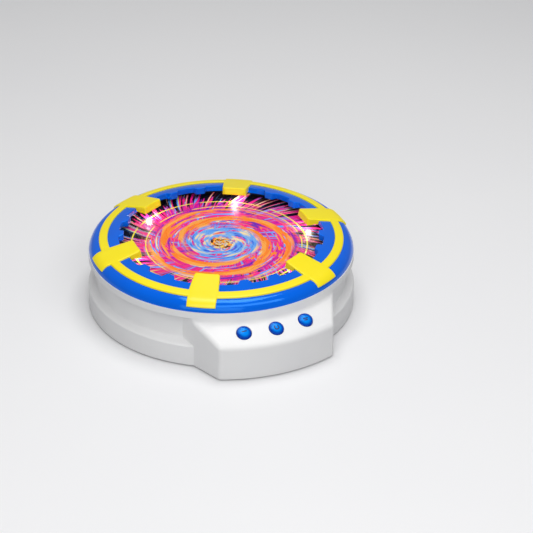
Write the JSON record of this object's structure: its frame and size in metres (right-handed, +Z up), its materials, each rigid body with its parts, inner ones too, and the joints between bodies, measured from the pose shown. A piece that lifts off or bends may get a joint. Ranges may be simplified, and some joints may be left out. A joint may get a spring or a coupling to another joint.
{
  "type": "spin art machine",
  "caption": "Round white battery-powered paint spinner with a sunken turntable for a card, a toothed blue splash rim, a yellow ring with lamp arms and a front push-button console.",
  "frame": {"origin": "middle of the footprint's bounding box, on the floor under the feet", "axes": "+Z up along the spin axis' direction, -Y out of the button console, +X to the right seen from the console side"},
  "size_m": [0.2628, 0.2848, 0.0775],
  "materials": {
    "white_shell": "smooth satin-gloss moulding",
    "blue_shell": "glossy moulding",
    "yellow_shell": "glossy moulding",
    "button_blue": "glossy key caps",
    "black_plastic": "matt moulding",
    "grey_plastic": "matt moulding",
    "gear_plastic": "natural acetal",
    "card": "painted coated paper card",
    "lamp_lens": "clear resin lamp body",
    "wire": "insulated wire",
    "steel": "bright zinc or ground steel",
    "iron": "wound iron core",
    "bronze": "sintered bronze",
    "nickel": "nickel-plated strip",
    "rubber": "soft rubber",
    "board": "glass-filled circuit board",
    "parts": "moulded electronic parts",
    "cell": "film-wrapped cell"
  },
  "bodies": {
    "housing": {"upper_housing": "white_shell", "bottom_cover": "white_shell", "splash_rim": "blue_shell", "light_ring": "yellow_shell", "rubber_dome_left": "rubber", "rubber_dome_centre": "rubber", "rubber_dome_right": "rubber", "control_board": "board", "board_components": "parts", "board_screws": "steel", "lamp_loom": "wire", "upper_bush": "bronze", "lower_bush": "bronze", "thrust_washer": "grey_plastic", "gearbox_plate": "grey_plastic", "motor_can": "steel", "motor_end_cap": "grey_plastic", "motor_pad": "rubber", "cover_screws": "steel", "gearbox_screws": "steel", "rim_screws": "steel", "battery_springs": "nickel", "battery_contacts": "nickel", "foot_back_right": "rubber", "foot_back_left": "rubber", "foot_front_left": "rubber", "foot_front_right": "rubber", "led_lamp_1": "lamp_lens", "led_lamp_2": "lamp_lens", "led_lamp_3": "lamp_lens", "led_lamp_4": "lamp_lens", "led_lamp_5": "lamp_lens", "led_lamp_6": "lamp_lens", "battery_1": "cell", "battery_2": "cell", "battery_3": "cell", "battery_4": "cell"},
    "turntable": {"platter": "black_plastic", "spindle": "steel", "drive_gear": "gear_plastic", "retaining_clip": "steel", "art_card": "card"},
    "rotor": {"motor_shaft": "steel", "motor_pinion": "gear_plastic", "motor_armature": "iron"},
    "left_button": {"button_left": "button_blue"},
    "centre_button": {"button_centre": "button_blue"},
    "right_button": {"button_right": "button_blue"},
    "door": {"battery_door": "white_shell", "door_screws": "steel"}
  },
  "joints": [
    {"name": "turntable_spin", "type": "hinge", "parent": "housing", "child": "turntable", "pos_m": [0, 0.01105, 0.05], "axis": [0, 0, 1], "continuous": true},
    {"name": "motor_spin", "type": "hinge", "parent": "housing", "child": "rotor", "pos_m": [0, -0.02255, 0.03], "axis": [0, 0, 1], "continuous": true},
    {"name": "left_button_press", "type": "slide", "parent": "housing", "child": "left_button", "axis": [0, 0.4909, -0.8712], "range_m": [0, 0.0012], "stiffness_N_per_m": 1250, "springref_m": -0.0004, "deforming": ["rubber_dome_left"]},
    {"name": "centre_button_press", "type": "slide", "parent": "housing", "child": "centre_button", "axis": [0, 0.4909, -0.8712], "range_m": [0, 0.0012], "stiffness_N_per_m": 1250, "springref_m": -0.0004, "deforming": ["rubber_dome_centre"]},
    {"name": "right_button_press", "type": "slide", "parent": "housing", "child": "right_button", "axis": [0, 0.4909, -0.8712], "range_m": [0, 0.0012], "stiffness_N_per_m": 1250, "springref_m": -0.0004, "deforming": ["rubber_dome_right"]},
    {"name": "battery_door_lift", "type": "slide", "parent": "housing", "child": "door", "axis": [0, 0, -1], "range_m": [0, 0.025]}
  ],
  "couplings": [
    {"joint": "motor_spin", "follows": "turntable_spin", "ratio": -5}
  ]
}
